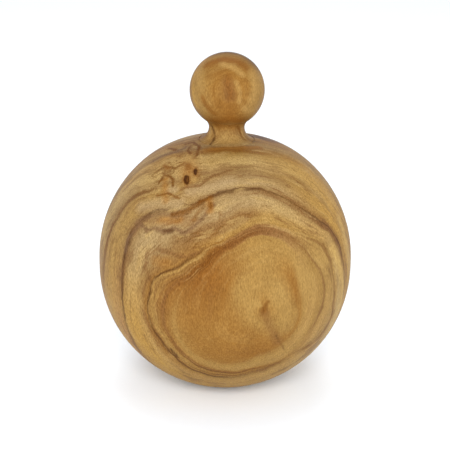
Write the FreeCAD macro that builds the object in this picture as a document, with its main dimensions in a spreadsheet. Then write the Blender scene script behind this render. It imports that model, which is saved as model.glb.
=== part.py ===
"""Darning ball of turned olive wood: a closed ball on a small foot, a waisted neck and a ball knob.

Frame: origin at the centre of the foot, +Z up the turning axis. Millimetres.
The neck stands in a bore in the top of the ball and pulls straight out. What is left of the bore under
its tenon is the needle well. The knob is glued on the neck's upper spigot.
"""
import FreeCAD, Part
import math
import os
import re

import Sketcher

# The driving dimensions, in millimetres: alias, value, meaning.
DIMENSIONS = [
    ("ball_radius", 40.0, "greatest radius of the ball"),
    ("belt_height", 2.3, "straight belt between the ball's lower and upper halves"),
    ("foot_radius", 9.2, "flat foot that the ball stands on"),
    ("shoulder_radius", 34.0, "arc that fairs the upper half into the dome"),
    ("dome_radius", 46.0, "flatter dome around the neck"),
    ("rim_height", 79.5, "rim of the recess in the top of the ball"),
    ("collar_radius", 8.6, "root of the neck"),
    ("collar_depth", 1.5, "depth of the recess that seats the collar"),
    ("waist_radius", 5.57, "thinnest place of the neck"),
    ("waist_rise", 3.96, "height of the waist above the rim"),
    ("landing_radius", 6.8, "flat landing where the knob meets the neck"),
    ("landing_rise", 6.4, "height of the landing above the rim"),
    ("knob_radius", 11.67, "ball knob"),
    ("tenon_radius", 5.0, "lower tenon, a push fit in the ball's bore"),
    ("tenon_length", 12.0, "lower tenon, below the collar"),
    ("spigot_radius", 3.5, "upper spigot, glued into the knob"),
    ("spigot_length", 8.0, "upper spigot, above the landing"),
    ("lead_in", 0.8, "chamfer on the ends of the tenon and the spigot"),
    ("push_gap", 0.05, "radial gap round the collar and the tenon"),
    ("glue_gap", 0.03, "radial gap round the spigot"),
    ("glue_room", 0.5, "free depth above the spigot"),
    ("bore_floor", 12.0, "height of the bore's floor above the foot"),
    ("drill_point", 3.0, "depth of the drill's cone below that floor"),
    ("edge_break", 0.2, "softened edge on each side of a seam"),
]
SIZE = {alias: value for alias, value, meaning in DIMENSIONS}

# Sketcher's own numbers for the origin, the vertical axis and the points of an edge.
ORIGIN_POINT = (-1, 1)
VERTICAL_AXIS = -2
START, END, CENTRE = 1, 2, 3

# Two sizes closer than this are the same size, and a smaller overlap is none.
SAME = 0.001

# A corner of a half section is (radius, height), each a sum of sizes from the sheet or "" for zero.
FOOT_CENTRE = ("", "")


def amount(text):
    """The present value of a sum of sizes, such as "rim_height - collar_depth"."""
    words = ("+ " + text).split()
    return sum(SIZE[alias] if sign == "+" else -SIZE[alias] for sign, alias in zip(words[::2], words[1::2]))


def formula(text):
    """The same sum as an expression on the sheet's cells."""
    return re.sub(r"[a-z_]+", r"Dimensions.\g<0>", text)


def make_sheet(doc):
    """The spreadsheet that every sketch, chamfer and placement is bound to."""
    sheet = doc.addObject("Spreadsheet::Sheet", "Dimensions")
    for row, (alias, value, meaning) in enumerate(DIMENSIONS, start=1):
        sheet.set(f"A{row}", meaning)
        sheet.set(f"B{row}", str(value))
        sheet.setAlias(f"B{row}", alias)


def make_body(doc, name, lift=None):
    """A sub-part's body, raised by a sum of sizes when its own origin isn't at the foot."""
    body = doc.addObject("PartDesign::Body", name)
    body.Label = name
    if lift:
        body.setExpression("Placement.Base.z", formula(lift))
    return body


def half_section(body):
    """A sketch on the body's own XZ plane: its x is the radius, and its y is the height."""
    sketch = body.newObject("Sketcher::SketchObject", body.Name + "_section")
    plane = [feature for feature in body.Origin.OriginFeatures if feature.Role == "XZ_Plane"]
    sketch.AttachmentSupport = [(plane[0], "")]
    sketch.MapMode = "FlatFace"
    return sketch


def place(radius, height):
    """A corner of a half section as a point."""
    return FreeCAD.Vector(amount(radius) if radius else 0.0, amount(height) if height else 0.0, 0.0)


def add_line(sketch, start, end):
    return sketch.addGeometry(Part.LineSegment(start, end), False)


def add_arc(sketch, centre, radius, first, last):
    """An arc drawn anticlockwise between two angles in degrees.

    Its centre, radius and angles are a first guess close to the shape, which the constraints settle.
    """
    circle = Part.Circle(centre, FreeCAD.Vector(0, 0, 1), radius)
    return sketch.addGeometry(Part.ArcOfCircle(circle, math.radians(first), math.radians(last)), False)


def constrain(sketch, kind, *references):
    return sketch.addConstraint(Sketcher.Constraint(kind, *references))


def drive(sketch, kind, references, text):
    """A dimension bound to a sum of sizes on the sheet."""
    index = constrain(sketch, kind, *references, amount(text))
    sketch.setExpression(f"Constraints[{index}]", formula(text))


def pin(sketch, edge, point, radius, height):
    """Hold an edge's point at a corner of the half section."""
    if not radius and not height:
        constrain(sketch, "Coincident", edge, point, *ORIGIN_POINT)
        return
    if radius:
        drive(sketch, "DistanceX", (*ORIGIN_POINT, edge, point), radius)
    else:
        constrain(sketch, "PointOnObject", edge, point, VERTICAL_AXIS)
    if height:
        drive(sketch, "DistanceY", (*ORIGIN_POINT, edge, point), height)
    else:
        constrain(sketch, "Horizontal", edge, point, *ORIGIN_POINT)


def add_steps(sketch, corners):
    """Straight lines from corner to corner, with the start of each line pinned."""
    points = [place(*corner) for corner in corners]
    lines = [add_line(sketch, *pair) for pair in zip(points, points[1:])]
    for line, corner in zip(lines, corners):
        pin(sketch, line, START, *corner)
    for line, following in zip(lines, lines[1:]):
        constrain(sketch, "Coincident", line, END, following, START)
    return lines


def turn(body, sketch):
    """Turn a half section all the way round its height axis."""
    feature = body.newObject("PartDesign::Revolution", body.Name + "_turned")
    feature.Profile = sketch
    feature.ReferenceAxis = (sketch, ["V_Axis"])
    feature.Angle = 360.0
    sketch.Visibility = False
    return feature


def circle_edges(feature, corners):
    """The names of the feature's edges that the half section's corners turn into."""
    names = []
    for corner in corners:
        wanted = place(*corner)
        for index, edge in enumerate(feature.Shape.Edges, start=1):
            if edge.Degenerated or not isinstance(edge.Curve, Part.Circle):
                continue
            same_radius = abs(edge.Curve.Radius - wanted.x) < SAME
            same_height = abs(edge.Curve.Center.z - wanted.y) < SAME
            if same_radius and same_height:
                names.append(f"Edge{index}")
    if len(names) != len(corners):
        raise RuntimeError(f"{feature.Name}: {len(names)} edges found for {len(corners)} corners")
    return names


def soften(body, name, size, corners):
    """Chamfer the circular edges at these corners of the body's half section."""
    base = body.Tip
    feature = body.newObject("PartDesign::Chamfer", name)
    feature.Base = (base, circle_edges(base, corners))
    feature.setExpression("Size", formula(size))
    body.Document.recompute()


# The corners that pieces share, each in the frame of the body it is used in.
BORE = "tenon_radius + push_gap"
RECESS = "collar_radius + push_gap"
SEAT = "rim_height - collar_depth"


def make_ball(doc):
    """The ball: foot, round side, dome, and from the top the collar's recess and the long bore.

    The side is two equal arcs with a short straight belt between them. The upper arc runs through a
    slightly tighter shoulder into the flatter dome that the neck stands on.
    """
    body = make_body(doc, "ball")
    sketch = half_section(body)
    lower_centre = place("", "ball_radius")
    upper_centre = place("", "ball_radius + belt_height")
    shoulder_centre = FreeCAD.Vector(4, 46, 0)
    dome_centre = place("", "rim_height - dome_radius")
    belt_start = place("ball_radius", "ball_radius")
    belt_end = place("ball_radius", "ball_radius + belt_height")

    foot = add_line(sketch, place(*FOOT_CENTRE), place("foot_radius", ""))
    lower = add_arc(sketch, lower_centre, SIZE["ball_radius"], -77, 0)
    belt = add_line(sketch, belt_start, belt_end)
    upper = add_arc(sketch, upper_centre, SIZE["ball_radius"], 0, 50)
    shoulder = add_arc(sketch, shoulder_centre, SIZE["shoulder_radius"], 50, 71)
    dome = add_arc(sketch, dome_centre, SIZE["dome_radius"], 71, 79)
    steps = add_steps(sketch, [
        (RECESS, "rim_height"),
        (RECESS, SEAT),
        (BORE, SEAT),
        (BORE, "bore_floor"),
        ("", "bore_floor - drill_point"),
        FOOT_CENTRE,
    ])

    pin(sketch, foot, START, *FOOT_CENTRE)
    constrain(sketch, "Horizontal", foot)
    drive(sketch, "DistanceX", (*ORIGIN_POINT, foot, END), "foot_radius")
    constrain(sketch, "Coincident", foot, END, lower, START)
    constrain(sketch, "PointOnObject", lower, CENTRE, VERTICAL_AXIS)
    drive(sketch, "Radius", (lower,), "ball_radius")
    constrain(sketch, "Tangent", lower, END, belt, START)
    constrain(sketch, "Vertical", belt)
    drive(sketch, "Distance", (belt,), "belt_height")
    constrain(sketch, "Tangent", belt, END, upper, START)
    drive(sketch, "Radius", (upper,), "ball_radius")
    constrain(sketch, "Tangent", upper, END, shoulder, START)
    drive(sketch, "Radius", (shoulder,), "shoulder_radius")
    constrain(sketch, "Tangent", shoulder, END, dome, START)
    drive(sketch, "Radius", (dome,), "dome_radius")
    constrain(sketch, "PointOnObject", dome, CENTRE, VERTICAL_AXIS)
    constrain(sketch, "Coincident", dome, END, steps[0], START)
    constrain(sketch, "Coincident", steps[-1], END, foot, START)

    turn(body, sketch)
    doc.recompute()
    soften(body, "recess_edge_break", "edge_break", [(RECESS, "rim_height")])
    return body


def make_neck(doc):
    """The neck: tenon, collar, hollow flare, waist, hollow throat, landing and spigot.

    Its own origin is at the lower end of the tenon, and its collar sits on the recess's floor.
    """
    body = make_body(doc, "neck", "rim_height - collar_depth - tenon_length")
    sketch = half_section(body)
    rim = "tenon_length + collar_depth"
    waist = rim + " + waist_rise"
    landing = rim + " + landing_rise"
    tip = landing + " + spigot_length"

    tenon_end = ("", "")
    root = add_steps(sketch, [
        tenon_end,
        ("tenon_radius", ""),
        ("tenon_radius", "tenon_length"),
        ("collar_radius", "tenon_length"),
        ("collar_radius", rim),
    ])
    head = add_steps(sketch, [
        ("landing_radius", landing),
        ("spigot_radius", landing),
        ("spigot_radius", tip),
        ("", tip),
        tenon_end,
    ])
    waist_point = place("waist_radius", waist)
    flare_radius = 4.1
    throat_radius = 3.0
    flare = add_arc(sketch, waist_point + FreeCAD.Vector(flare_radius, 0, 0), flare_radius, 180, 255)
    throat = add_arc(sketch, waist_point + FreeCAD.Vector(throat_radius, 0, 0), throat_radius, 126, 180)

    constrain(sketch, "Coincident", root[-1], END, flare, END)
    pin(sketch, flare, END, "collar_radius", rim)
    pin(sketch, flare, START, "waist_radius", waist)
    constrain(sketch, "Horizontal", flare, CENTRE, flare, START)
    constrain(sketch, "Coincident", flare, START, throat, END)
    constrain(sketch, "Horizontal", throat, CENTRE, throat, END)
    constrain(sketch, "Coincident", throat, START, head[0], START)
    constrain(sketch, "Coincident", head[-1], END, root[0], START)

    turn(body, sketch)
    doc.recompute()
    soften(body, "ends_lead_in", "lead_in", [("tenon_radius", ""), ("spigot_radius", tip)])
    soften(body, "seam_edge_break", "edge_break", [("collar_radius", rim), ("landing_radius", landing)])
    return body


def make_knob(doc):
    """The knob: a ball with a flat landing underneath and a blind bore for the neck's spigot.

    Its own origin is at the centre of the landing.
    """
    body = make_body(doc, "knob", "rim_height + landing_rise")
    sketch = half_section(body)
    bore = "spigot_radius + glue_gap"
    bore_top = "spigot_length + glue_room"
    radius = SIZE["knob_radius"]
    centre = FreeCAD.Vector(0, 9.5, 0)
    crown = centre + FreeCAD.Vector(0, radius, 0)

    landing = add_line(sketch, place(bore, ""), place("landing_radius", ""))
    side = add_arc(sketch, centre, radius, -54, 90)
    core = add_line(sketch, crown, place("", bore_top))
    steps = add_steps(sketch, [
        ("", bore_top),
        (bore, bore_top),
        (bore, ""),
    ])

    constrain(sketch, "Coincident", steps[-1], END, landing, START)
    pin(sketch, landing, START, bore, "")
    pin(sketch, landing, END, "landing_radius", "")
    constrain(sketch, "Coincident", landing, END, side, START)
    constrain(sketch, "PointOnObject", side, CENTRE, VERTICAL_AXIS)
    constrain(sketch, "PointOnObject", side, END, VERTICAL_AXIS)
    drive(sketch, "Radius", (side,), "knob_radius")
    constrain(sketch, "Coincident", side, END, core, START)
    constrain(sketch, "Coincident", core, END, steps[0], START)

    turn(body, sketch)
    doc.recompute()
    soften(body, "landing_edge_break", "edge_break", [("landing_radius", "")])
    return body


def check(doc, bodies):
    """Stop if a sketch isn't fully constrained, a feature has failed, or a solid isn't one closed piece."""
    for item in doc.Objects:
        if "Invalid" in item.State or "Error" in item.State:
            raise RuntimeError(f"{item.Name} is {item.State}")
        if item.TypeId == "Sketcher::SketchObject":
            free = item.solve()
            if free != 0 or not item.FullyConstrained:
                raise RuntimeError(f"{item.Name} isn't fully constrained")
    for body in bodies:
        shape = body.Shape
        if shape.isNull() or not shape.isValid() or len(shape.Solids) != 1:
            raise RuntimeError(f"{body.Label} isn't one valid solid")
    for index, body in enumerate(bodies):
        for other in bodies[index + 1:]:
            overlap = body.Shape.common(other.Shape).Volume
            if overlap > SAME:
                raise RuntimeError(f"{body.Label} and {other.Label} overlap by {overlap} mm3")


def main():
    doc = FreeCAD.newDocument("darning_ball")
    make_sheet(doc)
    doc.recompute()
    bodies = [make_ball(doc), make_neck(doc), make_knob(doc)]
    doc.recompute()
    check(doc, bodies)
    os.makedirs("parts", exist_ok=True)
    for body in bodies:
        body.Shape.exportStep(f"parts/{body.Label}.step")
        box = body.Shape.BoundBox
        print(f"{body.Label}: {box.XLength:.2f} x {box.YLength:.2f} mm, "
              f"z {box.ZMin:.2f} to {box.ZMax:.2f}, {body.Shape.Volume / 1000:.2f} cm3")


main()
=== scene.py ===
"""Looks of the darning ball: oiled olive wood, a pale floor, soft light and a camera round the CAD frame."""
import math

import bpy
from mathutils import Matrix, Vector


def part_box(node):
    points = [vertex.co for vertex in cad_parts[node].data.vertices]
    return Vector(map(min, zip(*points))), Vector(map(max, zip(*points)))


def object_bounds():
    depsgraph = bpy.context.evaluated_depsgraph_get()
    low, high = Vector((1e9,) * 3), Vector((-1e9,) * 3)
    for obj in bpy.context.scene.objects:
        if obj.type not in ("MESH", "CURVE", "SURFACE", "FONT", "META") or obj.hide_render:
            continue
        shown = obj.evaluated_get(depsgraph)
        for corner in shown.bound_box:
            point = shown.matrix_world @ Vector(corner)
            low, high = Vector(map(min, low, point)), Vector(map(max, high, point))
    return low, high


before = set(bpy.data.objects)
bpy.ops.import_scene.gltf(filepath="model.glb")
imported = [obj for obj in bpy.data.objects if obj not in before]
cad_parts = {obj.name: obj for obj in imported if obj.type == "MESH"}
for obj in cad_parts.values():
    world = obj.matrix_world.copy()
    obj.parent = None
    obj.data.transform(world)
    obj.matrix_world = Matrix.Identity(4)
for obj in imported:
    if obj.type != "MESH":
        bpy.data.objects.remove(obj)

CAD_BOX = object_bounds()

# ---------------------------------------------------------------- sizes read from the frame

MM = 0.001
HEIGHT = CAD_BOX[1].z
BALL_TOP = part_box("ball")[1].z
BALL_CENTRE = Vector((0, 0, BALL_TOP / 2))
KNOB_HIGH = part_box("knob")[1]
KNOB_RADIUS = KNOB_HIGH.x
KNOB_CENTRE = Vector((0, 0, KNOB_HIGH.z - KNOB_RADIUS))

# ---------------------------------------------------------------- colours of oiled olive wood

PALETTE = {
    "cream": (212, 176, 112),
    "sun": (212, 164, 82),
    # light serves the painted light on the ball's right edge.
    "light": (226, 184, 108),
    "gold": (202, 160, 94),
    "straw": (194, 154, 89),
    "tan": (184, 143, 80),
    "honey": (172, 124, 63),
    "amber": (162, 112, 54),
    "ash": (192, 160, 110),
    "bone": (200, 170, 124),
    "apricot": (203, 153, 88),
    "dun": (165, 128, 80),
    "rust": (155, 102, 48),
    "umber": (132, 82, 36),
    "rose": (162, 118, 74),
    "plum": (142, 98, 58),
    "mauve": (140, 104, 72),
    "bark": (98, 62, 38),
    "pitch": (92, 56, 22),
    "orange": (180, 122, 56),
}
LIGHT_ON_WOOD = 2.0      # how much light the front of the ball receives
SHEEN = 0.010            # how much of it the oiled surface sends back uncoloured
DARKEST = 0.002          # the least that is left of red, green or blue without the sheen
WARM_PULL = (0.85, 1.0, 1.15)      # how far red, green and blue follow a change of shade
DARKEST_SHADE = 0.08     # the least that a change of shade leaves of a colour


def paint(name):
    """The wood's own colour, from the palette's colour as it looks under the studio light."""
    seen = [((level / 255 + 0.055) / 1.055) ** 2.4 for level in PALETTE[name]]
    return tuple(max(level - SHEEN, DARKEST) / LIGHT_ON_WOOD for level in seen) + (1.0,)


# ---------------------------------------------------------------- short calls that add shader nodes


class Graph:
    """One node tree and short calls that add nodes to it."""

    def __init__(self, tree):
        self.tree = tree

    def add(self, kind, **settings):
        node = self.tree.nodes.new("ShaderNode" + kind)
        for name, value in settings.items():
            setattr(node, name, value)
        return node

    def feed(self, socket, value):
        if isinstance(value, bpy.types.NodeSocket):
            self.tree.links.new(value, socket)
        else:
            socket.default_value = value

    def math(self, operation, *values):
        node = self.add("Math", operation=operation)
        for socket, value in zip(node.inputs, values):
            self.feed(socket, value)
        return node.outputs[0]

    def vector(self, operation, *values):
        node = self.add("VectorMath", operation=operation)
        for socket, value in zip(node.inputs, values):
            self.feed(socket, value)
        return node.outputs["Vector"]

    def dot(self, vector, direction):
        node = self.add("VectorMath", operation="DOT_PRODUCT")
        self.feed(node.inputs[0], vector)
        self.feed(node.inputs[1], direction)
        return node.outputs["Value"]

    def scaled(self, vector, factor):
        node = self.add("VectorMath", operation="SCALE")
        self.feed(node.inputs[0], vector)
        self.feed(node.inputs["Scale"], factor)
        return node.outputs["Vector"]

    def distance(self, vector, point):
        node = self.add("VectorMath", operation="DISTANCE")
        self.feed(node.inputs[0], vector)
        self.feed(node.inputs[1], point)
        return node.outputs["Value"]

    def combine(self, x, y, z):
        node = self.add("CombineXYZ")
        for socket, value in zip(node.inputs, (x, y, z)):
            self.feed(socket, value)
        return node.outputs[0]

    def limit(self, value):
        """Keeps a number from 0 to 1."""
        return self.math("MINIMUM", self.math("MAXIMUM", value, 0.0), 1.0)

    def between(self, value, start, end, smooth=True):
        """0 at start and before it, 1 at end and past it."""
        node = self.add("MapRange", interpolation_type="SMOOTHSTEP" if smooth else "LINEAR", clamp=smooth)
        self.feed(node.inputs["Value"], value)
        self.feed(node.inputs["From Min"], start)
        self.feed(node.inputs["From Max"], end)
        return node.outputs["Result"] if smooth else self.limit(node.outputs["Result"])

    def rescale(self, value, start, end):
        """Turns 0..1 into start..end."""
        node = self.add("MapRange", clamp=False)
        self.feed(node.inputs["Value"], value)
        self.feed(node.inputs["To Min"], start)
        self.feed(node.inputs["To Max"], end)
        return node.outputs["Result"]

    def noise(self, vector, scale=1.0, detail=2.0, roughness=0.5, output="Fac"):
        node = self.add("TexNoise")
        self.feed(node.inputs["Vector"], vector)
        node.inputs["Scale"].default_value = scale
        node.inputs["Detail"].default_value = detail
        node.inputs["Roughness"].default_value = roughness
        return node.outputs[output]

    def ramp(self, factor, stops):
        """A colour ramp from (position, palette colour) pairs."""
        node = self.add("ValToRGB")
        self.feed(node.inputs[0], factor)
        band = node.color_ramp
        for position, name in stops[2:]:
            band.elements.new(position)
        for element, (position, name) in zip(band.elements, stops):
            element.position = position
            element.color = paint(name)
        return node.outputs["Color"]

    def curve(self, factor, points):
        """A smooth curve through (x, y) points in the unit square."""
        node = self.add("FloatCurve")
        self.feed(node.inputs["Value"], factor)
        line = node.mapping.curves[0]
        for x, y in points[2:]:
            line.points.new(x, y)
        for point, (x, y) in zip(line.points, points):
            point.location = (x, y)
        node.mapping.update()
        return node.outputs["Value"]

    def mix(self, factor, first, second):
        node = self.add("Mix", data_type="RGBA")
        sockets = {socket.identifier: socket for socket in node.inputs}
        self.feed(sockets["Factor_Float"], factor)
        self.feed(sockets["A_Color"], first)
        self.feed(sockets["B_Color"], second)
        return next(socket for socket in node.outputs if socket.identifier == "Result_Color")

    def brighten(self, colour, factor):
        """Multiplies a colour by a number."""
        return self.vector("MULTIPLY", colour, self.combine(factor, factor, factor))

    def shade_warmly(self, colour, factor):
        """Multiplies a colour by a number near 1; blue follows it more than red, so darker is browner."""
        channels = []
        for pull in WARM_PULL:
            channels.append(self.math("MAXIMUM", self.rescale(factor, 1.0 - pull, 1.0), DARKEST_SHADE))
        return self.vector("MULTIPLY", colour, self.combine(*channels))


# ---------------------------------------------------------------- growth rings around an eye

HOURS = 12
FIRST_HOUR = 6           # the clock face is read from six o'clock on
FULL_REACH = 0.35        # the share of a streak's reach along which it has its full strength


class Eye:
    """Where the growth rings close round a point of the surface, like a clock face seen from outside."""

    def __init__(self, graph, from_centre, direction):
        facing = Vector(direction).normalized()
        right = Vector((0, 0, 1)).cross(facing).normalized()
        up = facing.cross(right)
        outward = graph.vector("NORMALIZE", from_centre)
        self.graph = graph
        self.across = graph.dot(outward, right)
        self.upward = graph.dot(outward, up)
        opening = graph.math("ARCCOSINE", graph.dot(outward, facing))
        self.degrees = graph.math("MULTIPLY", opening, 180 / math.pi)
        turn = graph.math("ARCTAN2", self.across, self.upward)
        self.turn = graph.math("MULTIPLY_ADD", turn, 0.5 / math.pi, 0.5)

    def around(self, values, largest):
        """A value that follows the clock face, given at each hour from six o'clock on."""
        points = [(step / HOURS, value / largest) for step, value in enumerate(values + values[:1])]
        return self.graph.math("MULTIPLY", self.graph.curve(self.turn, points), largest)

    def count_rings(self, rings, spacing):
        """How many rings lie between the eye and the point, with the fraction of the next one."""
        graph = self.graph
        widest = max(max(ring) for ring in rings)
        inner = 0.0
        count = 0.0
        for ring in rings:
            outer = self.around(ring, widest)
            count = graph.math("ADD", count, graph.between(self.degrees, inner, outer, smooth=False))
            inner = outer
        beyond = graph.math("MAXIMUM", graph.math("SUBTRACT", self.degrees, inner), 0.0)
        return graph.math("MULTIPLY_ADD", beyond, 1 / spacing, count)


def stroke_group():
    """A node group that lays one streak along a growth ring, soft on each side and fading at its ends."""
    tree = bpy.data.node_groups.new("growth_streak", "ShaderNodeTree")
    socket = tree.interface.new_socket
    socket(name="Colour", in_out="INPUT", socket_type="NodeSocketColor")
    socket(name="Streak", in_out="INPUT", socket_type="NodeSocketColor")
    for name in ("Ring", "Turn", "At ring", "Inside", "Outside", "At hour", "Reach", "Strength"):
        socket(name=name, in_out="INPUT", socket_type="NodeSocketFloat")
    socket(name="Colour", in_out="OUTPUT", socket_type="NodeSocketColor")
    graph = Graph(tree)
    given = graph.tree.nodes.new("NodeGroupInput").outputs
    result = graph.tree.nodes.new("NodeGroupOutput").inputs
    off = graph.math("SUBTRACT", given["Ring"], given["At ring"])
    inward = graph.math("DIVIDE", graph.math("MULTIPLY", off, -1.0), given["Inside"])
    outward = graph.math("DIVIDE", off, given["Outside"])
    across = graph.between(graph.math("MAXIMUM", inward, outward), 1.0, 0.0)
    hour = graph.math("MULTIPLY_ADD", given["Turn"], HOURS, FIRST_HOUR)
    away = graph.math("WRAP", graph.math("SUBTRACT", hour, given["At hour"]), -HOURS / 2, HOURS / 2)
    away = graph.math("ABSOLUTE", away)
    along = graph.between(away, given["Reach"], graph.math("MULTIPLY", given["Reach"], FULL_REACH))
    amount = graph.math("MULTIPLY", graph.math("MULTIPLY", across, along), given["Strength"])
    graph.feed(result["Colour"], graph.mix(amount, given["Colour"], given["Streak"]))
    return tree


def lay_streaks(graph, group, colour, ring, turn, streaks):
    """Lays streaks in turn: (colour, ring, width inside, width outside, hour, reach in hours, strength)."""
    for name, at_ring, inside, outside, hour, reach, strength in streaks:
        node = graph.add("Group", node_tree=group)
        values = {
            "Colour": colour, "Streak": paint(name), "Ring": ring, "Turn": turn, "At ring": at_ring,
            "Inside": inside, "Outside": outside, "At hour": hour, "Reach": reach, "Strength": strength,
        }
        for socket, value in values.items():
            graph.feed(node.inputs[socket], value)
        colour = node.outputs["Colour"]
    return colour


def segment_group():
    """A node group that measures how far a point lies from a straight segment."""
    tree = bpy.data.node_groups.new("segment_distance", "ShaderNodeTree")
    for name in ("Place", "From", "To"):
        tree.interface.new_socket(name=name, in_out="INPUT", socket_type="NodeSocketVector")
    tree.interface.new_socket(name="Distance", in_out="OUTPUT", socket_type="NodeSocketFloat")
    graph = Graph(tree)
    given = graph.tree.nodes.new("NodeGroupInput").outputs
    result = graph.tree.nodes.new("NodeGroupOutput").inputs
    along = graph.vector("SUBTRACT", given["To"], given["From"])
    off = graph.vector("SUBTRACT", given["Place"], given["From"])
    share = graph.limit(graph.math("DIVIDE", graph.dot(off, along), graph.dot(along, along)))
    graph.feed(result["Distance"], graph.distance(off, graph.scaled(along, share)))
    return tree


def draw_mark(graph, group, colour, place, name, half_width, strength, points):
    """Draws a soft line of one palette colour through points on the surface, in millimetres."""
    nearest = None
    for start, end in zip(points, points[1:]):
        node = graph.add("Group", node_tree=group)
        graph.feed(node.inputs["Place"], place)
        node.inputs["From"].default_value = start
        node.inputs["To"].default_value = end
        away = node.outputs["Distance"]
        nearest = away if nearest is None else graph.math("MINIMUM", nearest, away)
    amount = graph.math("MULTIPLY", graph.between(nearest, half_width, 0.0), strength)
    return graph.mix(amount, colour, paint(name))


# ---------------------------------------------------------------- points that a viewer in front sees

VIEW_ELEVATION = math.radians(18.0)
VIEW_BACK = Vector((0, -math.cos(VIEW_ELEVATION), math.sin(VIEW_ELEVATION)))
VIEW_UP = Vector((0, math.sin(VIEW_ELEVATION), math.cos(VIEW_ELEVATION)))


def seen_on(node, middle, across, upward):
    """The point of a node, in millimetres, seen from in front so far across and up from a middle."""
    start = middle + Vector((across * MM, 0, 0)) + VIEW_UP * upward * MM + VIEW_BACK * HEIGHT
    found, point, _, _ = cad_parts[node].ray_cast(start, -VIEW_BACK)
    if not found:
        raise ValueError(f"no point of the {node} lies at {across}, {upward}")
    return point / MM


def on_ball(across, upward):
    """The ball's surface point seen at these millimetres across and up from its middle."""
    return seen_on("ball", BALL_CENTRE, across, upward)


def draw_marks(graph, segment, colour, place, node, middle, marks):
    """Draws marks on a node: (colour, half width, strength, places across and up from the middle)."""
    shaky = graph.vector("ADD", place, wobble(graph, place, *MARK_WOBBLE))
    for name, half_width, strength, places in marks:
        points = [seen_on(node, middle, *spot) for spot in places]
        colour = draw_mark(graph, segment, colour, shaky, name, half_width, strength, points)
    return colour


# ---------------------------------------------------------------- what all three pieces share

# How fine the noise of fibres, specks and pores is along X, Y and Z, per millimetre. All run upright.
STRAND_FINENESS = (1.1, 1.1, 0.09)
SPECK_FINENESS = (3.2, 3.2, 1.0)
PORE_FINENESS = (2.6, 2.6, 0.45)
PORE_LEVELS = (0.60, 0.74)         # noise where a pore begins, and where it is deepest
MOTTLE_SIZE = 7                    # millimetres

# What each multiplies the wood's colour by, where its noise is 0 and where it is 1.
STRAND_SHADE = (0.80, 1.20)
MOTTLE_SHADE = (0.86, 1.14)
PORE_SHADE = (1.0, 0.84)

# The oiled satin surface: its roughness along the strands, what a pore adds, and its gloss.
SATIN_ROUGHNESS = (0.40, 0.56)
PORE_ROUGHNESS = 0.15
OIL_IOR = 1.45
OIL_SPECULAR = 0.07

# How much of the fine relief comes from each, and how high it is.
STRAND_RELIEF = 0.5
SPECK_RELIEF = 0.35
PORE_RELIEF = 0.5
RELIEF_STRENGTH = 0.35
RELIEF_HEIGHT = 0.08 * MM

# Wavelength and amount, in millimetres, of the shake in the marks drawn through listed points.
MARK_WOBBLE = (2.5, 1.6)
KNOT_WOBBLE = (2.0, 0.9)


def new_material(name):
    """An empty material, its graph and the surface point in millimetres."""
    material = bpy.data.materials.new(name)
    material.use_nodes = True
    material.node_tree.nodes.clear()
    graph = Graph(material.node_tree)
    place = graph.scaled(graph.add("TexCoord").outputs["Object"], 1 / MM)
    return material, graph, place


def fibres(graph, place):
    """Long vertical fibres, fine specks and short pores, each from 0 to 1."""
    strands = graph.noise(graph.vector("MULTIPLY", place, STRAND_FINENESS), detail=4, roughness=0.65)
    specks = graph.noise(graph.vector("MULTIPLY", place, SPECK_FINENESS), detail=1, roughness=0.6)
    dashes = graph.noise(graph.vector("MULTIPLY", place, PORE_FINENESS), detail=2)
    pores = graph.between(dashes, *PORE_LEVELS)
    return strands, specks, pores


def finish_wood(graph, place, colour, coarse):
    """Adds fibres, pores and mottling to the colour, then the oiled satin surface and its fine relief.

    Coarse is how strongly the fine specks show."""
    strands, specks, pores = fibres(graph, place)
    mottle = graph.noise(graph.scaled(place, 1 / MOTTLE_SIZE), detail=3)
    shade = graph.rescale(strands, *STRAND_SHADE)
    speckle = graph.math("MULTIPLY", graph.math("SUBTRACT", specks, 0.5), coarse)
    shade = graph.math("MULTIPLY", shade, graph.math("ADD", speckle, 1.0))
    shade = graph.math("MULTIPLY", shade, graph.rescale(mottle, *MOTTLE_SHADE))
    shade = graph.math("MULTIPLY", shade, graph.rescale(pores, *PORE_SHADE))
    colour = graph.shade_warmly(colour, shade)
    shader = graph.add("BsdfPrincipled")
    graph.feed(shader.inputs["Base Color"], colour)
    satin = graph.rescale(strands, *SATIN_ROUGHNESS)
    roughness = graph.math("ADD", satin, graph.rescale(pores, 0.0, PORE_ROUGHNESS))
    graph.feed(shader.inputs["Roughness"], roughness)
    shader.inputs["IOR"].default_value = OIL_IOR
    shader.inputs["Specular IOR Level"].default_value = OIL_SPECULAR
    strand_height = graph.math("MULTIPLY", strands, STRAND_RELIEF)
    height = graph.math("ADD", strand_height, graph.math("MULTIPLY", specks, SPECK_RELIEF))
    height = graph.math("SUBTRACT", height, graph.math("MULTIPLY", pores, PORE_RELIEF))
    bump = graph.add("Bump")
    bump.inputs["Strength"].default_value = RELIEF_STRENGTH
    bump.inputs["Distance"].default_value = RELIEF_HEIGHT
    graph.feed(bump.inputs["Height"], height)
    graph.feed(shader.inputs["Normal"], bump.outputs["Normal"])
    output = graph.add("OutputMaterial")
    graph.feed(output.inputs["Surface"], shader.outputs["BSDF"])


def wobble(graph, place, wavelength, amount):
    """A vector that wanders by up to about a third of amount, in millimetres."""
    drift = graph.noise(graph.scaled(place, 1 / wavelength), detail=2, output="Color")
    centred = graph.vector("SUBTRACT", drift, (0.5, 0.5, 0.5))
    return graph.scaled(centred, amount)


def across_rings(graph, eye, ring, ring_fineness, sideways_fineness):
    """A place for noise that is drawn out along the growth rings."""
    return graph.combine(graph.math("MULTIPLY", ring, ring_fineness),
                         graph.math("MULTIPLY", eye.across, sideways_fineness),
                         graph.math("MULTIPLY", eye.upward, sideways_fineness))


# ---------------------------------------------------------------- the ball

BALL_EYE = (0.29, -0.956, -0.04)

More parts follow.
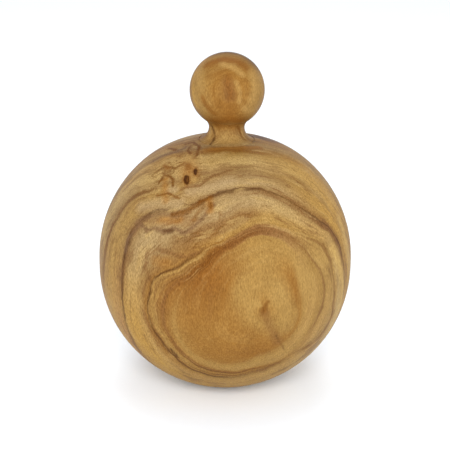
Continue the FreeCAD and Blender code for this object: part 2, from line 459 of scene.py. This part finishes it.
# Half angle of each growth ring round the eye, in degrees, at six o'clock, seven, eight and so on.
BALL_RINGS = (
    (14, 13, 13, 12, 14, 15.5, 16, 17, 16, 15.5, 19, 18),
    (25, 34, 39, 35.5, 30.5, 29, 30, 27.5, 21, 20, 22, 23.5),
    (34.5, 41, 44, 43, 32.5, 31, 32, 31.5, 31, 33, 32, 34.5),
    (38, 47.5, 50.5, 52, 39, 34, 36, 35, 40, 40, 45.5, 36),
    (82, 78, 72, 69, 69.5, 55, 52.5, 47, 50, 52, 57, 75),
    (100, 98, 92, 88, 85, 68, 64, 60, 56.5, 61, 80, 95),
    (116, 114, 112, 110, 104, 90, 77.5, 77, 73, 86, 98, 108),
)
BALL_SPACING = 12        # degrees between the rings past the last of these
BALL_LAST = 8.0          # the ring where the bands' colours end

# Colours from the eye outwards as (ring, colour), at six o'clock, eight, ten, twelve, two and four.
BALL_BANDS = (
    # At six o'clock the cream from ring 5.6 on is partly the wood's pale outer rings and partly painted
    # reflection of the white floor on the ball's underside.
    ((0.0, "amber"), (0.6, "tan"), (1.0, "honey"), (1.9, "amber"), (2.3, "tan"), (2.8, "straw"),
     (3.0, "honey"), (3.2, "amber"), (3.8, "honey"), (4.0, "tan"), (4.15, "gold"), (4.5, "sun"),
     (4.95, "gold"), (5.1, "tan"), (5.6, "cream"), (7.0, "gold"), (8.0, "gold")),
    ((0.0, "honey"), (0.5, "tan"), (1.1, "honey"), (1.8, "honey"), (2.4, "tan"), (3.0, "honey"),
     (3.2, "honey"), (3.6, "tan"), (3.95, "honey"), (4.08, "honey"), (4.25, "gold"), (4.5, "sun"),
     (4.9, "sun"), (5.02, "honey"), (5.2, "apricot"), (5.6, "sun"), (6.3, "apricot"), (7.0, "sun"),
     (8.0, "gold")),
    ((0.0, "tan"), (0.7, "tan"), (1.0, "tan"), (1.25, "amber"), (1.9, "rust"), (3.1, "rust"),
     (3.5, "honey"), (3.8, "tan"), (4.0, "honey"), (4.3, "dun"), (4.5, "ash"), (4.75, "ash"),
     (5.0, "dun"), (5.4, "straw"), (5.8, "straw"), (6.0, "dun"), (6.5, "cream"), (6.9, "gold"),
     (7.1, "dun"), (8.0, "gold")),
    ((0.0, "honey"), (0.5, "tan"), (1.0, "tan"), (1.5, "tan"), (2.0, "tan"), (2.35, "rose"),
     (3.7, "rose"), (4.0, "tan"), (4.25, "straw"), (4.5, "ash"), (4.7, "ash"), (5.0, "dun"),
     (5.25, "ash"), (5.8, "dun"), (6.2, "cream"), (6.6, "straw"), (6.85, "amber"), (7.1, "dun"),
     (8.0, "ash")),
    ((0.0, "honey"), (0.4, "straw"), (0.7, "straw"), (1.0, "honey"), (1.4, "honey"), (1.9, "straw"),
     (2.5, "straw"), (2.8, "tan"), (3.3, "straw"), (3.8, "straw"), (4.0, "tan"), (4.3, "gold"),
     (4.6, "gold"), (4.85, "tan"), (5.1, "honey"), (5.5, "sun"), (6.0, "sun"), (6.8, "sun"),
     (7.2, "tan"), (8.0, "gold")),
    ((0.0, "honey"), (0.4, "tan"), (0.8, "tan"), (1.6, "honey"), (2.0, "tan"), (2.4, "gold"),
     (2.8, "tan"), (3.3, "gold"), (3.8, "straw"), (4.1, "gold"), (4.4, "cream"), (4.8, "cream"),
     (5.2, "sun"), (6.5, "sun"), (8.0, "sun")),
)

# Colour, ring, width inside it, width outside it, hour, reach in hours, strength.
BALL_STREAKS = (
    ("rust", 1.15, 0.22, 0.35, 2.4, 1.6, 0.4),
    ("umber", 3.0, 1.3, 1.1, 10.9, 1.8, 0.8),
    ("plum", 3.0, 0.5, 0.9, 12.2, 1.6, 0.4),
    ("plum", 3.0, 0.14, 0.16, 2.6, 2.2, 0.6),
    ("plum", 4.0, 0.18, 0.10, 2.8, 2.4, 0.6),
    ("plum", 4.25, 0.16, 0.35, 11.2, 1.3, 0.8),
    ("plum", 3.1, 0.25, 0.3, 7.9, 2.4, 0.7),
    ("plum", 3.4, 0.16, 0.3, 9.3, 1.2, 0.5),
    ("bark", 3.25, 0.16, 0.12, 6.2, 2.2, 0.6),
    ("bark", 3.7, 0.12, 0.12, 6.0, 2.6, 0.5),
    ("bark", 4.0, 0.16, 0.06, 8.3, 3.2, 0.8),
    ("gold", 3.8, 0.25, 0.15, 9.7, 1.6, 0.25),
    ("bark", 5.0, 0.09, 0.07, 12.0, 6.0, 0.6),
    ("bark", 5.0, 0.09, 0.05, 9.2, 1.6, 0.7),
    ("bark", 5.0, 0.12, 0.10, 11.6, 0.8, 0.6),
    ("plum", 4.9, 0.26, 0.2, 1.8, 1.6, 0.9),
    ("umber", 5.0, 0.10, 0.08, 4.2, 1.6, 0.7),
    ("umber", 4.0, 0.25, 0.12, 4.9, 1.6, 0.7),
    ("bark", 5.0, 0.08, 0.08, 2.4, 1.6, 0.6),
    ("cream", 4.45, 0.35, 0.4, 3.4, 2.0, 1.0),
    ("plum", 6.0, 0.12, 0.25, 12.6, 2.2, 0.5),
    ("umber", 6.0, 0.12, 0.15, 9.8, 1.4, 0.6),
)

# Colour, half width, strength and the places it passes, in millimetres across and up from the ball's middle.
BALL_MARKS = (
    ("straw", 3.0, 0.6, ((8.6, -13.2), (9.6, -12.6))),
    ("straw", 3.4, 0.5, ((18.0, -11.5), (18.5, -20.0))),
    ("plum", 2.6, 0.5, ((12.0, -15.5), (14.1, -20.0), (16.6, -24.5))),
    ("umber", 1.5, 0.7, ((13.0, -12.0), (11.6, -14.8))),
    ("bark", 0.6, 0.45, ((15.7, -22.5), (18.4, -27.2))),
    ("bark", 1.1, 0.8, ((-15.9, -27.5), (-14.3, -29.8))),
    ("bone", 3.4, 0.6, ((-26.0, 16.0), (-21.0, 17.2), (-14.0, 17.2))),
    ("bone", 2.4, 0.6, ((-17.2, 21.3), (-15.6, 21.6))),
    ("bone", 3.4, 0.6, ((-11.0, 21.0), (-5.0, 22.0), (1.5, 24.0))),
    ("cream", 3.2, 0.6, ((-6.5, 31.5), (1.0, 30.5), (8.0, 31.0))),
    ("ash", 3.8, 0.4, ((-1.0, 17.5), (6.0, 19.5))),
    ("cream", 3.8, 0.3, ((11.0, 17.0), (17.0, 15.5), (23.0, 12.5))),
    # Painted light: the next two marks brighten the ball's right edge, over the pale figure there.
    ("light", 3.0, 1.0, ((33.0, 4.0), (36.4, -5.0), (36.2, -14.0), (33.0, -22.0))),
    ("light", 3.0, 0.8, ((35.2, 13.0), (37.6, 6.0), (39.0, -2.0))),
    ("rose", 2.6, 0.6, ((-27.5, 9.0), (-25.0, 11.8), (-19.0, 11.8), (-10.0, 12.2))),
    ("orange", 2.2, 0.5, ((-19.5, 12.4), (-14.0, 12.2))),
    ("mauve", 1.4, 0.85, ((-30.3, 2.7), (-29.6, 6.5), (-26.0, 10.7), (-23.8, 9.1), (-21.0, 9.6),
                          (-18.5, 8.6), (-15.0, 9.8), (-12.1, 8.3), (-7.9, 11.8), (-3.6, 17.1))),
    ("bark", 1.3, 0.6, ((-18.4, 8.9), (-16.2, 9.0))),
    ("mauve", 1.6, 0.6, ((-27.0, 11.6), (-24.9, 12.6), (-21.2, 13.4), (-18.5, 14.2), (-14.8, 13.6))),
    ("umber", 1.4, 0.8, ((-16.0, 13.8), (-13.0, 14.4), (-9.5, 16.0), (-4.5, 19.4))),
    ("umber", 1.2, 0.6, ((-9.5, 12.5), (-6.5, 16.5))),
    ("orange", 2.0, 0.7, ((-4.7, 18.1), (-4.7, 15.4))),
    ("umber", 0.9, 0.8, ((-4.7, 17.6), (-4.7, 16.0))),
    ("plum", 1.5, 0.6, ((-20.0, 3.4), (-17.0, 2.6), (-12.3, 1.2))),
    ("plum", 1.2, 0.5, ((-23.5, 3.0), (-24.0, -2.0), (-22.5, -6.0))),
    ("orange", 2.6, 0.4, ((-21.0, 0.0), (-17.5, -0.5))),
    ("dun", 1.4, 0.7, ((-1.0, 8.8), (2.8, 10.7), (6.1, 12.8))),
    ("mauve", 1.6, 0.9, ((-23.0, 30.3), (-20.6, 31.8), (-18.1, 32.7), (-15.6, 33.3), (-12.5, 34.9))),
    ("umber", 1.0, 0.8, ((-22.5, 26.0), (-19.0, 28.6), (-15.5, 28.2), (-13.0, 29.8))),
    ("umber", 1.1, 1.0, ((-12.9, 35.9), (-10.4, 36.6), (-8.5, 34.9), (-9.0, 32.3), (-10.4, 31.2))),
    ("umber", 0.9, 1.0, ((-10.9, 35.2), (-11.9, 33.6), (-10.6, 32.8))),
    ("umber", 1.3, 1.0, ((-18.0, 34.6), (-15.8, 34.1))),
    ("umber", 1.0, 1.0, ((-4.2, 38.6), (-6.6, 36.2), (-8.5, 34.9))),
    ("orange", 2.0, 0.6, ((-18.3, 25.0), (-18.5, 22.6), (-18.1, 18.3))),
    ("umber", 0.9, 0.9, ((-20.3, 23.6), (-19.0, 25.7), (-17.7, 26.0), (-16.2, 24.5), (-16.0, 22.6))),
    ("umber", 0.8, 0.8, ((-21.0, 19.6), (-17.5, 20.4), (-14.0, 18.8))),
    ("plum", 1.0, 0.8, ((-13.6, 21.6), (-8.0, 22.8), (-4.5, 25.5), (1.5, 27.5))),
    ("rust", 1.5, 0.8, ((-18.8, 29.1), (-17.6, 28.0))),
    ("orange", 2.2, 0.8, ((-6.0, 34.0), (4.2, 34.6), (10.0, 35.0))),
    ("rust", 1.3, 0.5, ((-6.0, 33.4), (3.0, 33.8), (11.0, 34.6))),
)

# Knots and their stains: colour, millimetres across and up, half width, half height, softness, strength.
BALL_KNOTS = (
    ("orange", (-11.3, 27.5), 4.6, 7.0, 1.0, 0.7),
    ("gold", (-11.1, 31.3), 2.2, 1.8, 0.8, 0.6),
    ("gold", (-9.6, 24.6), 1.6, 1.6, 0.8, 0.6),
    ("rust", (-11.6, 28.8), 1.8, 1.9, 0.9, 0.9),
    ("rust", (-12.0, 24.4), 1.6, 2.6, 0.6, 0.8),
    ("rust", (-9.3, 27.0), 1.3, 1.9, 0.6, 0.8),
    ("pitch", (-12.0, 24.4), 0.95, 1.9, 0.35, 1.0),
    ("pitch", (-9.3, 27.0), 0.65, 1.2, 0.35, 1.0),
    ("rust", (-11.8, 24.5), 0.35, 1.0, 0.9, 0.5),
)
KNOT_DEPTH = 12.0                  # half of how far each reaches into the wood, so that it keeps its shape
KNOT_ZONE = (-13.0, 27.0)          # the middle of the restless wood round the knots
KNOT_ZONE_RADII = (20.0, 2.0)      # millimetres from it where the unrest begins, and where it is full

# How the rings bend, in millimetres: from one bend to the next, how far, and what is added to that.
BEHIND = (8.0, -30.0)              # how far towards the eye the back begins, and where it is full
BROAD_WAVE = 16.0
BROAD_BEND = 2.0
BROAD_BEND_BEHIND = 14.0
FINE_WAVE = 4.5
FINE_BEND = 1.8
FINE_BEND_AT_KNOTS = 7.0

# The wilder bands past the rings that the front shows, by noise level.
WILD_BANDS = (
    (0.30, "bark"), (0.40, "umber"), (0.46, "honey"), (0.54, "tan"), (0.60, "ash"), (0.63, "plum"),
    (0.66, "straw"), (0.8, "cream"),
)
WILD_START = 7.0
WILD_FINENESS = 0.9

DISC_EDGE = (1.5, 4.5)             # the rings between which the smooth disc gives way to livelier wood

# Thin lines along the rings: fineness across the rings and along them, the noise where dark and light ones
# begin and are full, and how strong they are on the smooth disc and outside it.
LINE_FINENESS = (5.0, 3.0)
DARK_LINES = (0.48, 0.34)
DARK_AMOUNT = (0.15, 0.6)
LIGHT_LINES = (0.52, 0.66)
LIGHT_AMOUNT = (0.15, 0.55)
PALE_HEIGHT = 0.45                 # sine of the angle above the eye where light lines are palest

# Hairlines, which come and go in patches.
HAIR_FINENESS = (7.0, 2.2)
HAIR_WIDTH = (0.028, 0.004)
HAIR_PATCH_SIZE = 9
HAIR_PATCH_LEVELS = (0.44, 0.60)
HAIRS_AT_KNOTS = 1.6
HAIR_STRENGTH = 0.5

# The calmer wood right of the eye, and how strong the specks are in the disc and elsewhere.
CALM_ACROSS = (0.1, 0.5)
CALM_UPWARD = (0.5, 0.2)
CALM_SHARE = 0.8
BALL_SPECKS = (1.15, 1.55)


def ball_bands(graph, eye, ring):
    """Colour bands along the rings: six ramps that blend into each other round the clock face."""
    position = graph.math("DIVIDE", ring, BALL_LAST)
    ramps = [graph.ramp(position, [(at / BALL_LAST, name) for at, name in bands]) for bands in BALL_BANDS]
    colour = ramps[0]
    for step, ramp in enumerate(ramps[1:] + ramps[:1]):
        reached = graph.between(eye.turn, step / len(ramps), (step + 1) / len(ramps))
        colour = graph.mix(reached, colour, ramp)
    noise = graph.noise(across_rings(graph, eye, ring, WILD_FINENESS, 1.0), detail=3, roughness=0.55)
    wild = graph.ramp(noise, WILD_BANDS)
    return graph.mix(graph.between(ring, WILD_START, BALL_LAST), colour, wild)


def ball_lines(graph, place, eye, ring, colour, outside, unrest):
    """Thin dark and light lines and hairlines that follow the rings."""
    lines = graph.noise(across_rings(graph, eye, ring, *LINE_FINENESS), detail=4, roughness=0.65)
    dark = graph.math("MULTIPLY", graph.between(lines, *DARK_LINES), graph.rescale(outside, *DARK_AMOUNT))
    light = graph.math("MULTIPLY", graph.between(lines, *LIGHT_LINES), graph.rescale(outside, *LIGHT_AMOUNT))
    colour = graph.mix(dark, colour, paint("plum"))
    pale = graph.mix(graph.between(eye.upward, 0.0, PALE_HEIGHT), paint("gold"), paint("cream"))
    colour = graph.mix(light, colour, pale)
    noise = graph.noise(across_rings(graph, eye, ring, *HAIR_FINENESS), detail=1)
    ridge = graph.math("ABSOLUTE", graph.math("SUBTRACT", noise, 0.5))
    patches = graph.noise(graph.scaled(place, 1 / HAIR_PATCH_SIZE), detail=1)
    patchy = graph.between(patches, *HAIR_PATCH_LEVELS)
    patchy = graph.math("MAXIMUM", patchy, graph.math("MULTIPLY", unrest, HAIRS_AT_KNOTS))
    thin = graph.between(ridge, *HAIR_WIDTH)
    hairs = graph.math("MULTIPLY", thin, graph.math("MULTIPLY", patchy, outside))
    return graph.mix(graph.math("MULTIPLY", hairs, HAIR_STRENGTH), colour, paint("umber"))


def ball_knots(graph, place, colour):
    """Lays the knots and their stains, each an ellipse on the surface with a soft edge."""
    uneven = graph.vector("ADD", place, wobble(graph, place, *KNOT_WOBBLE))
    for name, spot, half_width, half_height, softness, strength in BALL_KNOTS:
        off = graph.vector("SUBTRACT", uneven, on_ball(*spot))
        sideways = graph.dot(off, Vector((1 / half_width, 0, 0)))
        upward = graph.dot(off, VIEW_UP / half_height)
        deep = graph.dot(off, VIEW_BACK / KNOT_DEPTH)
        away = graph.distance(graph.combine(sideways, upward, deep), (0, 0, 0))
        near = graph.between(away, 1.0, 1.0 - softness)
        colour = graph.mix(graph.math("MULTIPLY", near, strength), colour, paint(name))
    return colour


def ball_figure(graph, place, streak, segment):
    """The colour of wavy growth rings round an eye in front, with pin knots by the neck.

    It also gives how coarse the wood looks: 0 on the smooth disc and up to 1 outside it."""
    from_centre = graph.vector("SUBTRACT", place, tuple(BALL_CENTRE / MM))
    behind = graph.between(graph.dot(from_centre, Vector(BALL_EYE).normalized()), *BEHIND)
    unrest = graph.between(graph.distance(place, on_ball(*KNOT_ZONE)), *KNOT_ZONE_RADII)
    broad_bend = graph.math("MULTIPLY_ADD", behind, BROAD_BEND_BEHIND, BROAD_BEND)
    broad = wobble(graph, place, BROAD_WAVE, broad_bend)
    fine_bend = graph.math("MULTIPLY_ADD", unrest, FINE_BEND_AT_KNOTS, FINE_BEND)
    fine = wobble(graph, place, FINE_WAVE, fine_bend)
    wandering = graph.vector("ADD", from_centre, graph.vector("ADD", broad, fine))
    eye = Eye(graph, wandering, BALL_EYE)
    ring = eye.count_rings(BALL_RINGS, BALL_SPACING)
    colour = ball_bands(graph, eye, ring)
    colour = lay_streaks(graph, streak, colour, ring, eye.turn, BALL_STREAKS)
    outside = graph.between(ring, *DISC_EDGE)
    colour = ball_lines(graph, place, eye, ring, colour, outside, unrest)
    colour = draw_marks(graph, segment, colour, place, "ball", BALL_CENTRE, BALL_MARKS)
    colour = ball_knots(graph, place, colour)
    beside = graph.between(eye.across, *CALM_ACROSS)
    calm = graph.math("MULTIPLY", beside, graph.between(eye.upward, *CALM_UPWARD))
    coarse = graph.math("SUBTRACT", outside, graph.math("MULTIPLY", calm, CALM_SHARE))
    return colour, coarse


def ball_wood(streak, segment):
    """Olive wood of the ball."""
    material, graph, place = new_material("ball_olive_wood")
    colour, coarse = ball_figure(graph, place, streak, segment)
    finish_wood(graph, place, colour, graph.rescale(coarse, *BALL_SPECKS))
    return material


# ---------------------------------------------------------------- the knob

KNOB_EYE = (0.07, -0.97, 0.2)
KNOB_SPACING = 15        # degrees between its rings, the same all round
KNOB_RINGS = ((KNOB_SPACING,) * HOURS,)
KNOB_LAST = 8.0          # the ring where its bands' colours end
KNOB_BANDS = (
    (0.0, "amber"), (0.5, "honey"), (1.3, "honey"), (2.4, "honey"), (3.2, "tan"), (4.4, "straw"),
    (5.0, "gold"), (5.6, "straw"), (6.5, "honey"), (7.2, "straw"), (8.0, "tan"),
)
KNOB_STREAKS = (
    ("tan", 2.6, 1.0, 0.8, 9.0, 2.6, 0.7),
    ("tan", 2.9, 1.0, 0.8, 3.0, 2.4, 0.8),
    ("straw", 4.6, 0.6, 0.6, 9.0, 3.0, 0.7),
    ("amber", 3.5, 0.7, 1.4, 12.0, 2.4, 0.9),
)

# Colour, half width, strength and the places it passes, in millimetres across and up from the knob's middle.
KNOB_MARKS = (
    ("plum", 3.4, 0.8, ((0.2, 1.2), (0.8, -3.0))),
    ("rust", 1.6, 0.6, ((0.4, 3.4), (0.2, 0.8), (0.9, -3.2))),
    ("rust", 2.3, 0.9, ((-6.4, 7.0), (-2.0, 8.6), (3.1, 7.9), (6.3, 5.4))),
    ("gold", 1.7, 0.8, ((-1.6, 7.0), (1.8, 5.8), (4.7, 3.8))),
    ("gold", 1.5, 0.6, ((2.8, 1.3), (3.9, -1.6), (3.7, -4.4))),
    ("gold", 2.0, 0.7, ((5.4, -6.2), (6.4, -7.4))),
    ("rust", 1.8, 0.8, ((-7.4, -3.5), (-6.0, -6.0), (-3.6, -8.0))),
    ("rust", 2.4, 0.4, ((-5.5, 3.5), (-2.5, 4.6))),
    ("amber", 3.4, 0.9, ((-2.5, -5.6), (1.6, -6.2))),
    ("gold", 3.2, 0.7, ((7.6, 4.2), (8.6, 0.5), (7.8, -3.4))),
    ("gold", 2.6, 0.5, ((-8.6, 4.4), (-8.0, 0.0))),
    ("sun", 1.8, 0.8, ((-9.9, 4.5), (-10.6, -0.6), (-9.3, -5.4))),
    # Partly the ring's figure and partly painted shade: the broad rust mark darkens the knob's underside.
    ("rust", 5.5, 1.0, ((-3.5, -10.2), (0.9, -9.4), (4.0, -10.0))),
    # Painted shade: the broad bark mark darkens the knob's top.
    ("bark", 6.5, 0.8, ((-2.0, 11.4), (0.2, 11.55), (4.0, 10.9), (7.6, 8.7))),
)

KNOB_VEINS = (
    (0.34, "umber"), (0.42, "amber"), (0.5, "honey"), (0.58, "tan"), (0.64, "plum"), (0.68, "straw"),
)
KNOB_VEIN_FINENESS = 3.0
KNOB_VEIN_RINGS = (3.5, 6.0)       # the rings between which the veins come up
KNOB_VEIN_AMOUNT = (0.2, 0.85)
KNOB_BROAD_WOBBLE = (7.0, 3.5)
KNOB_FINE_WOBBLE = (2.5, 0.9)
KNOB_SPECKS = 1.1


def knob_wood(streak, segment):
    """Olive wood of the knob: the same wood with a small eye on its front."""
    material, graph, place = new_material("knob_olive_wood")
    from_centre = graph.vector("SUBTRACT", place, tuple(KNOB_CENTRE / MM))
    broad = wobble(graph, place, *KNOB_BROAD_WOBBLE)
    drift = graph.vector("ADD", broad, wobble(graph, place, *KNOB_FINE_WOBBLE))
    eye = Eye(graph, graph.vector("ADD", from_centre, drift), KNOB_EYE)
    ring = eye.count_rings(KNOB_RINGS, KNOB_SPACING)
    stops = [(at / KNOB_LAST, name) for at, name in KNOB_BANDS]
    colour = graph.ramp(graph.math("DIVIDE", ring, KNOB_LAST), stops)
    colour = lay_streaks(graph, streak, colour, ring, eye.turn, KNOB_STREAKS)
    lines = graph.noise(across_rings(graph, eye, ring, KNOB_VEIN_FINENESS, 1.0), detail=3, roughness=0.6)
    veins = graph.ramp(lines, KNOB_VEINS)
    amount = graph.rescale(graph.between(ring, *KNOB_VEIN_RINGS), *KNOB_VEIN_AMOUNT)
    colour = graph.mix(amount, colour, veins)
    colour = draw_marks(graph, segment, colour, place, "knob", KNOB_CENTRE, KNOB_MARKS)
    finish_wood(graph, place, colour, KNOB_SPECKS)
    return material


# ---------------------------------------------------------------- the neck

# Colour, half width, strength and the places it passes, in millimetres across and up from the knob's middle.
NECK_MARKS = (
    # Painted reflection: the two gold marks are light strips along both edges of the neck.
    ("gold", 1.4, 0.8, ((-5.0, -12.4), (-5.6, -15.0))),
    ("gold", 1.2, 0.8, ((4.7, -12.4), (5.4, -14.5))),
    # Painted shade: the rust mark is a dark band on the neck just under the knob.
    ("rust", 2.6, 0.7, ((-3.0, -11.0), (3.0, -11.0))),
    ("tan", 3.4, 0.5, ((-1.0, -16.4), (2.5, -16.0))),
    # The bark and umber lines just inside the neck's edges are partly grain lines and partly painted shade.
    ("bark", 0.8, 0.8, ((-4.6, -11.4), (-3.7, -13.4), (-4.0, -15.8), (-5.2, -17.2))),
    ("umber", 0.9, 0.8, ((3.7, -11.4), (4.3, -13.6), (5.8, -15.6))),
)
NECK_BANDS = (
    (0.3, "umber"), (0.4, "amber"), (0.5, "honey"), (0.6, "honey"), (0.7, "tan"), (0.8, "straw"),
)
NECK_FINENESS = (0.22, 0.22, 0.05)
NECK_WOBBLE = (9.0, 3.0)
NECK_BLEND_LOW = 2.0     # millimetres above the ball's top up to where the ball's figure shows alone
NECK_BLEND_HIGH = 7.0    # and from where the upright bands show alone
NECK_SPECKS = 1.2


def neck_wood(streak, segment):
    """Olive wood of the neck: the ball's figure runs up into its flared foot, with upright bands above."""
    material, graph, place = new_material("neck_olive_wood")
    drift = graph.vector("ADD", place, wobble(graph, place, *NECK_WOBBLE))
    upright = graph.vector("MULTIPLY", drift, NECK_FINENESS)
    colour = graph.ramp(graph.noise(upright, detail=3, roughness=0.6), NECK_BANDS)
    figure, _ = ball_figure(graph, place, streak, segment)
    height = graph.dot(place, (0, 0, 1))
    foot = graph.between(height, BALL_TOP / MM + NECK_BLEND_HIGH, BALL_TOP / MM + NECK_BLEND_LOW)
    colour = graph.mix(foot, colour, figure)
    colour = draw_marks(graph, segment, colour, place, "neck", KNOB_CENTRE, NECK_MARKS)
    finish_wood(graph, place, colour, NECK_SPECKS)
    return material


# ---------------------------------------------------------------- floor, light and camera

FLOOR_SIZE = 8.0
PAPER_WHITE = (0.890, 0.93, 0.978)
PAPER_TOOTH = (0.99, 1.01)         # what the tooth multiplies the white by
TOOTH_FINENESS = 0.4
PAPER_ROUGHNESS = 0.9
PAPER_SPECULAR = 0.1
TENT_SIDES = 1.9
TENT_ROOF = 0.58
TENT_ROOF_START = 0.6    # sine of the height from which the roof is evenly dim
VIEW_ROLL = math.radians(0.705)
VIEW_DISTANCE = 0.6
VIEW_LENS = 151.4        # millimetres, on the sensor below
SENSOR_WIDTH = 36.0
AIM_HEIGHT = 0.4786 * HEIGHT
AIM_SIDE = -0.16 * MM


def floor_material():
    """Plain white paper with a very faint tooth."""
    material, graph, place = new_material("studio_paper")
    tooth = graph.noise(place, scale=TOOTH_FINENESS, detail=3)
    shader = graph.add("BsdfPrincipled")
    level = graph.rescale(tooth, *PAPER_TOOTH)
    graph.feed(shader.inputs["Base Color"], graph.brighten(PAPER_WHITE, level))
    shader.inputs["Roughness"].default_value = PAPER_ROUGHNESS
    shader.inputs["Specular IOR Level"].default_value = PAPER_SPECULAR
    output = graph.add("OutputMaterial")
    graph.feed(output.inputs["Surface"], shader.outputs["BSDF"])
    return material


def make_floor():
    """A square of white paper under the ball."""
    half = FLOOR_SIZE / 2
    corners = [(-half, -half, 0), (half, -half, 0), (half, half, 0), (-half, half, 0)]
    mesh = bpy.data.meshes.new("studio_floor")
    mesh.from_pydata(corners, [], [(0, 1, 2, 3)])
    mesh.materials.append(floor_material())
    floor = bpy.data.objects.new("studio_floor", mesh)
    bpy.context.scene.collection.objects.link(floor)


def make_tent():
    """The surround of a light tent: bright sides and a dimmer roof."""
    world = bpy.data.worlds.new("light_tent")
    world.use_nodes = True
    graph = Graph(world.node_tree)
    direction = graph.add("TexCoord").outputs["Generated"]
    roof = graph.between(graph.dot(direction, (0, 0, 1)), 0.0, TENT_ROOF_START)
    background = world.node_tree.nodes["Background"]
    background.inputs["Color"].default_value = (1.0, 1.0, 1.0, 1.0)
    graph.feed(background.inputs["Strength"], graph.rescale(roof, TENT_SIDES, TENT_ROOF))
    bpy.context.scene.world = world


def make_softbox(name, azimuth, elevation, distance, size, power, mirrored):
    """A square soft box aimed at the middle of the ball; azimuth 0 is the camera's side.

    One that isn't mirrored lights the wood but doesn't show as a reflection in its oiled surface."""
    lamp = bpy.data.lights.new(name, "AREA")
    lamp.shape = "SQUARE"
    lamp.size = size
    lamp.energy = power
    softbox = bpy.data.objects.new(name, lamp)
    turn = math.radians(azimuth)
    tilt = math.radians(elevation)
    away = Vector((math.sin(turn) * math.cos(tilt), -math.cos(turn) * math.cos(tilt), math.sin(tilt)))
    middle = Vector((0, 0, HEIGHT / 2))
    softbox.location = middle + away * distance
    softbox.rotation_euler = away.to_track_quat("Z", "Y").to_euler()
    softbox.visible_glossy = mirrored
    bpy.context.scene.collection.objects.link(softbox)


def make_camera():
    """A long lens a little above the ball, with a slight roll."""
    lens = bpy.data.cameras.new("camera")
    lens.lens = VIEW_LENS
    lens.sensor_width = SENSOR_WIDTH
    camera = bpy.data.objects.new("camera", lens)
    camera.location = Vector((AIM_SIDE, 0, AIM_HEIGHT)) + VIEW_BACK * VIEW_DISTANCE
    level = VIEW_BACK.to_track_quat("Z", "Y").to_matrix()
    camera.rotation_euler = (level @ Matrix.Rotation(VIEW_ROLL, 3, "Z")).to_euler()
    bpy.context.scene.collection.objects.link(camera)
    bpy.context.scene.camera = camera


def cover(node, material):
    """Gives a CAD node's material slots the finished material."""
    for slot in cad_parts[node].material_slots:
        slot.material = material


streak = stroke_group()
segment = segment_group()
cover("ball", ball_wood(streak, segment))
cover("neck", neck_wood(streak, segment))
cover("knob", knob_wood(streak, segment))
make_floor()
make_tent()
make_softbox("front_softbox", azimuth=0, elevation=25, distance=1.0, size=0.5, power=11.0, mirrored=False)
make_softbox("back_softbox", azimuth=180, elevation=65, distance=0.8, size=0.6, power=2.6, mirrored=True)
make_camera()
bpy.context.scene.view_settings.view_transform = "Standard"
